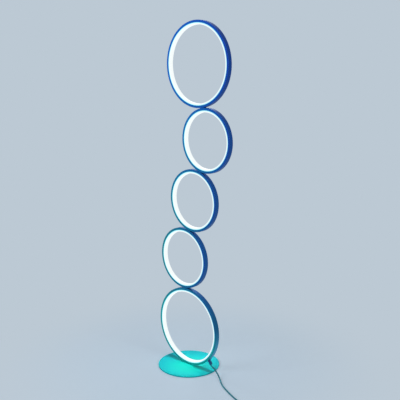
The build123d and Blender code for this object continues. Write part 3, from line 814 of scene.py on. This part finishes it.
def strap_webbing(colour):
    """Woven webbing: ribs along and across the strap, from its own along and across values."""
    material, tree, shader = new_material("strap_webbing", {"Sheen Weight": 0.3, "Roughness": 0.85})

    def ribs(name):
        turns = calculate(tree, "MULTIPLY", attribute(tree, name), 2 * math.pi / WEAVE_PITCH)
        return calculate(tree, "SINE", turns)

    crossed = calculate(tree, "MULTIPLY", ribs("along"), ribs("across"))
    weave = calculate(tree, "MULTIPLY_ADD", crossed, 0.5, 0.5)
    threads = mix_colours(tree, weave, opaque(darker(colour, WEAVE_DARK)), opaque(colour))
    tree.links.new(threads, shader["Base Color"])
    bump_by(tree, shader, weave, strength=0.6, depth=0.0003)
    return material


def dress(material, *nodes):
    """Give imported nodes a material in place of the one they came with."""
    for name in nodes:
        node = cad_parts[name]
        node.data.materials.clear()
        node.data.materials.append(material)


# Stage


def seen_mask(tree):
    """1 where the camera, a mirror or glass looks, 0 where light only passes."""
    path = add_node(tree, "ShaderNodeLightPath").outputs
    seen = calculate(tree, "MAXIMUM", path["Is Camera Ray"], path["Is Glossy Ray"])
    return calculate(tree, "MAXIMUM", seen, path["Is Transmission Ray"])


def floor_paper(colour):
    """Matt pale paper that takes the lamp's shadow nearby, and shows its plain colour further out."""
    material = bpy.data.materials.new("floor_paper")
    material.use_nodes = True
    tree = material.node_tree
    tree.nodes.clear()
    sockets = {0: place_on_object(tree)}
    reach = add_node(tree, "ShaderNodeVectorMath", sockets, operation="LENGTH").outputs["Value"]
    seen = seen_mask(tree)
    white = tuple(value / max(colour) for value in colour)
    matt = add_node(tree, "ShaderNodeBsdfDiffuse", {"Color": opaque(white)})
    level = calculate(tree, "MULTIPLY", seen, FLOOR_LIFT)
    lift = add_node(tree, "ShaderNodeEmission", {"Color": opaque(colour), "Strength": level})
    near = add_node(tree, "ShaderNodeAddShader", {0: matt.outputs[0], 1: lift.outputs[0]})
    plain = add_node(tree, "ShaderNodeEmission", {"Color": opaque(colour), "Strength": 1.0})
    away = calculate(tree, "MULTIPLY", seen, ease_between(tree, reach, *FLOOR_FADE))
    mixed = add_node(tree, "ShaderNodeMixShader", {0: away, 1: near.outputs[0], 2: plain.outputs[0]})
    add_node(tree, "ShaderNodeOutputMaterial", {"Surface": mixed.outputs[0]})
    return material


def make_floor(colour):
    """A wide flat disc at floor level, seamless from every side, spared by the hoops' own lamps."""
    angle = np.linspace(0, 2 * np.pi, FLOOR_SEGMENTS, endpoint=False)
    rim = FLOOR_RADIUS * np.column_stack([np.cos(angle), np.sin(angle), np.zeros(FLOOR_SEGMENTS)])
    mesh = bpy.data.meshes.new("studio_floor")
    mesh.from_pydata(rim.tolist(), [], [list(range(FLOOR_SEGMENTS))])
    mesh.materials.append(floor_paper(colour))
    floor = bpy.data.objects.new("studio_floor", mesh)
    bpy.context.scene.collection.objects.link(floor)
    spare(floor)


def add_ring_lamps(name, sizes, power):
    """Unseen lamps just off a diffuser's inner face, spread evenly round it and turned to its centre."""
    radius, width, centre = hoop_of(name)
    reach = radius - sizes.flange - sizes.rise - RING_LAMP_GAP
    for angle in 2 * np.pi * (np.arange(RING_LAMPS) + 0.5) / RING_LAMPS:
        light = bpy.data.lights.new(f"{name}_ring_lamp", "AREA")
        light.shape = "RECTANGLE"
        light.size = RING_LAMP_LENGTH
        light.size_y = width
        light.energy = power
        lamp = bpy.data.objects.new(f"{name}_ring_lamp", light)
        lamp.location = centre + Vector((reach * math.cos(angle), 0.0, reach * math.sin(angle)))
        lamp.rotation_euler = (0.0, math.pi / 2 - angle, 0.0)
        lamp.visible_camera = False
        lamp.visible_glossy = False
        lamp.light_linking.receiver_collection = bpy.data.collections[SPARED_BY_RING_LAMPS]
        bpy.context.scene.collection.objects.link(lamp)


def add_softbox(name, position, size, power, tint):
    """Square area light that points at the lamp and doesn't show itself."""
    light = bpy.data.lights.new(name, "AREA")
    light.shape = "SQUARE"
    light.size = size
    light.energy = power
    light.color = tint
    box = bpy.data.objects.new(name, light)
    box.location = position
    box.rotation_mode = "QUATERNION"
    box.rotation_quaternion = (Vector(SOFTBOX_TARGET) - Vector(position)).to_track_quat("-Z", "Y")
    box.visible_camera = False
    bpy.context.scene.collection.objects.link(box)


def set_camera():
    """Camera where it stood, turned by its yaw from the lamp's axis and by its pitch from level."""
    camera = bpy.data.cameras.new("photo_camera")
    camera.sensor_width = SENSOR_MILLIMETRES
    camera.lens = CAMERA_FOCAL_PIXELS / PICTURE_PIXELS * SENSOR_MILLIMETRES
    stand = bpy.data.objects.new("photo_camera", camera)
    stand.location = (
        CAMERA_DISTANCE * math.sin(CAMERA_AZIMUTH),
        -CAMERA_DISTANCE * math.cos(CAMERA_AZIMUTH),
        CAMERA_HEIGHT,
    )
    turn = CAMERA_AZIMUTH + CAMERA_YAW
    ahead = Vector(
        (
            -math.sin(turn) * math.cos(CAMERA_PITCH),
            math.cos(turn) * math.cos(CAMERA_PITCH),
            math.sin(CAMERA_PITCH),
        )
    )
    stand.rotation_mode = "QUATERNION"
    stand.rotation_quaternion = ahead.to_track_quat("-Z", "Y")
    bpy.context.scene.collection.objects.link(stand)
    bpy.context.scene.camera = stand


def set_sky(colour, tint, strength):
    """Even light all round, which shows itself as the floor's plain colour."""
    world = bpy.data.worlds.new("studio_sky")
    world.use_nodes = True
    tree = world.node_tree
    tree.nodes.clear()
    even = add_node(tree, "ShaderNodeBackground", {"Color": opaque(tint), "Strength": strength})
    shown = add_node(tree, "ShaderNodeBackground", {"Color": opaque(colour), "Strength": 1.0})
    sockets = {0: seen_mask(tree), 1: even.outputs[0], 2: shown.outputs[0]}
    mixed = add_node(tree, "ShaderNodeMixShader", sockets)
    add_node(tree, "ShaderNodeOutputWorld", {"Surface": mixed.outputs[0]})
    bpy.context.scene.world = world


# Operators


class LAMP_OT_cord(bpy.types.Operator):
    """Lay the cord from the boot to the floor and into its coil, with its straps, boots and supply."""

    bl_idname = "lamp.cord"
    bl_label = "Cord and supply"

    def execute(self, context):
        sizes, colours = context.scene.lamp_sizes, context.scene.lamp_colours
        cord = make_cord(sizes, plain_finish("cord_jacket", colours.cord, JACKET_GRAIN))
        straps = make_straps(sizes, strap_webbing(colours.strap))
        dress(plain_finish("boot_rubber", colours.boot, BOOT_GRAIN), "strain_relief", "supply_boot")
        dress(plain_finish("supply_plastic", colours.supply, SUPPLY_GRAIN), "supply_housing")
        dark = darker(colours.supply, PIN_PLATE_TONE)
        dress(plain_finish("pin_plate_plastic", dark, PIN_PLATE_GRAIN), "supply_pin_plate")
        nickel = plain_finish("pin_nickel", colours.nickel, NICKEL_GRAIN, metallic=1.0)
        dress(nickel, "supply_pins")
        return {"FINISHED"}


class LAMP_OT_casings(bpy.types.Operator):
    """Turn the five blue casings with rounded edges, and paint what carries them."""

    bl_idname = "lamp.casings"
    bl_label = "Casings"

    def execute(self, context):
        paint = casing_paint(context.scene.lamp_colours)
        for name in HOOP_NAMES:
            make_casing(name, context.scene.lamp_sizes, paint)
        dress(paint, "foot_saddle", "joint_saddles")
        return {"FINISHED"}


class LAMP_OT_diffusers(bpy.types.Operator):
    """Turn the five opal diffusers and light them."""

    bl_idname = "lamp.diffusers"
    bl_label = "Diffusers"

    def execute(self, context):
        sizes, light = context.scene.lamp_sizes, context.scene.lamp_light
        opal = opal_glow(context.scene.lamp_colours, light.glow)
        for name in HOOP_NAMES:
            make_diffuser(name, sizes, opal)
            add_ring_lamps(name, sizes, light.own)
        return {"FINISHED"}


class LAMP_OT_base(bpy.types.Operator):
    """Coat the base plate and finish the pad under it."""

    bl_idname = "lamp.base"
    bl_label = "Base"

    def execute(self, context):
        colours = context.scene.lamp_colours
        dress(base_enamel(colours), "base_plate")
        dress(plain_finish("pad_rubber", colours.pad, PAD_GRAIN), "base_pad")
        return {"FINISHED"}


class LAMP_OT_hardware(bpy.types.Operator):
    """Finish the screws, clamp, nuts, nipples, leads and light strips."""

    bl_idname = "lamp.hardware"
    bl_label = "Hardware"

    def execute(self, context):
        colours = context.scene.lamp_colours
        steel = plain_finish("fastener_steel", colours.steel, STEEL_GRAIN, metallic=1.0)
        dress(steel, "foot_clamp_plate", "foot_screws", "joint_nuts")
        brass = plain_finish("nipple_brass", colours.brass, BRASS_GRAIN, metallic=1.0)
        dress(brass, "joint_nipples")
        insulation = plain_finish("lead_insulation", colours.insulation, INSULATION_GRAIN)
        dress(insulation, "jumper_leads")
        board = plain_finish("strip_board", colours.board, BOARD_GRAIN)
        dress(board, *(f"{name}_hoop_led_strip" for name in HOOP_NAMES))
        return {"FINISHED"}


class LAMP_OT_stage(bpy.types.Operator):
    """Set the floor, the lights and the camera."""

    bl_idname = "lamp.stage"
    bl_label = "Stage"

    def execute(self, context):
        light, colours = context.scene.lamp_light, context.scene.lamp_colours
        make_floor(colours.floor)
        for name, position, size in SOFTBOXES:
            add_softbox(f"{name}_softbox", position, size, getattr(light, name), colours.studio)
        set_sky(colours.floor, colours.studio, light.sky)
        set_camera()
        context.scene.view_settings.view_transform = "Standard"
        return {"FINISHED"}


OPERATORS = (
    LAMP_OT_stage,
    LAMP_OT_cord,
    LAMP_OT_casings,
    LAMP_OT_diffusers,
    LAMP_OT_base,
    LAMP_OT_hardware,
)
GROUPS = {"lamp_sizes": LampSizes, "lamp_colours": LampColours, "lamp_light": LampLight}


class LAMP_PT_sidebar(bpy.types.Panel):
    """The lamp's operators, sizes, colours and lights."""

    bl_idname = "LAMP_PT_sidebar"
    bl_label = "Column floor lamp"
    bl_space_type = "VIEW_3D"
    bl_region_type = "UI"
    bl_category = "Lamp"

    def draw(self, context):
        for operator in OPERATORS:
            self.layout.operator(operator.bl_idname)
        for name, group in GROUPS.items():
            box = self.layout.box()
            for key in group.__annotations__:
                box.prop(getattr(context.scene, name), key)


CLASSES = (*GROUPS.values(), *OPERATORS, LAMP_PT_sidebar)


def register():
    for cls in CLASSES:
        bpy.utils.register_class(cls)
    for key, group in GROUPS.items():
        setattr(bpy.types.Scene, key, PointerProperty(type=group))


def unregister():
    for key in GROUPS:
        delattr(bpy.types.Scene, key)
    for cls in reversed(CLASSES):
        bpy.utils.unregister_class(cls)


def main():
    """Build everything."""
    register()
    bpy.ops.lamp.stage()
    bpy.ops.lamp.cord()
    bpy.ops.lamp.casings()
    bpy.ops.lamp.diffusers()
    bpy.ops.lamp.base()
    bpy.ops.lamp.hardware()
    bpy.context.view_layer.update()


if __name__ == "__main__":
    main()
